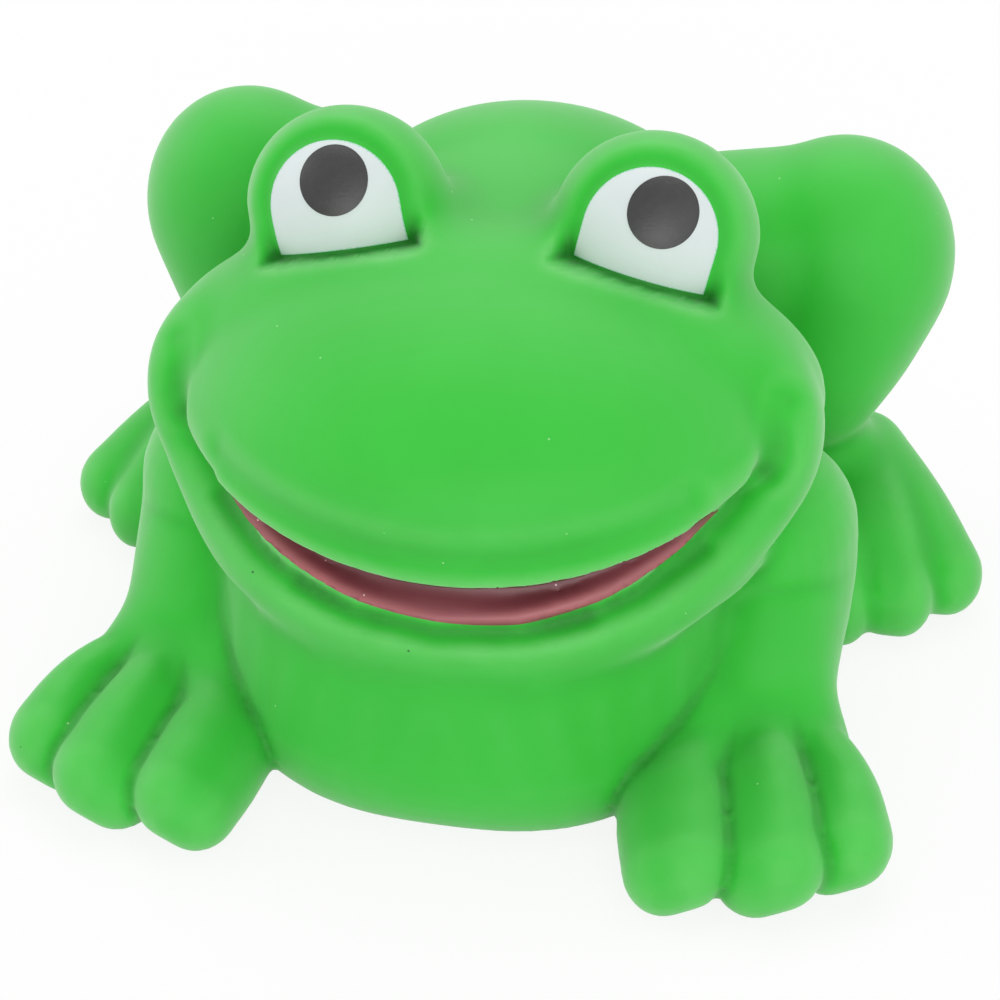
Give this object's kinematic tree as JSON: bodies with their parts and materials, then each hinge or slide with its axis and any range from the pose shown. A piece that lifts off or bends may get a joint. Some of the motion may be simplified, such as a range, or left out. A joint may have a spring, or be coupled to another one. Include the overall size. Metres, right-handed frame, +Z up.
{
  "type": "frog stress toy",
  "caption": "Palm-sized squeezable foam frog in a crouch, with raised eye mounds, a wide mouth and toed feet; the head presses down into the soft body and springs back.",
  "frame": {"origin": "on the table under the middle of the toy's box", "axes": "+Z up, face towards -Y, the frog's left side towards +X"},
  "size_m": [0.0774, 0.0591, 0.0439],
  "materials": {
    "green_foam": "matte self-skinned polyurethane foam with a sprayed green coat",
    "foam_core": "open soft polyurethane foam",
    "mouth_paint": "flexible matte maroon paint",
    "eye_white": "flexible matte white paint",
    "pupil_print": "satin black pad print"
  },
  "bodies": {
    "body": {"torso": "green_foam", "foam_core": "foam_core", "thigh_left": "green_foam", "thigh_right": "green_foam", "hind_foot_left": "green_foam", "hind_foot_right": "green_foam", "foreleg_left": "green_foam", "foreleg_right": "green_foam", "forefoot_left": "green_foam", "forefoot_right": "green_foam"},
    "head": {"head": "green_foam", "muzzle": "green_foam", "jaw": "green_foam", "mouth_paint": "mouth_paint", "eye_hood_left": "green_foam", "eye_hood_right": "green_foam", "eye_white_left": "eye_white", "eye_white_right": "eye_white", "pupil_left": "pupil_print", "pupil_right": "pupil_print"}
  },
  "joints": [
    {"name": "head_squeeze", "type": "slide", "parent": "body", "child": "head", "axis": [0, 0, -1], "range_m": [0, 0.01], "stiffness_N_per_m": 1000, "deforming": ["torso", "foam_core", "foreleg_left", "foreleg_right", "forefoot_left", "forefoot_right"]}
  ]
}
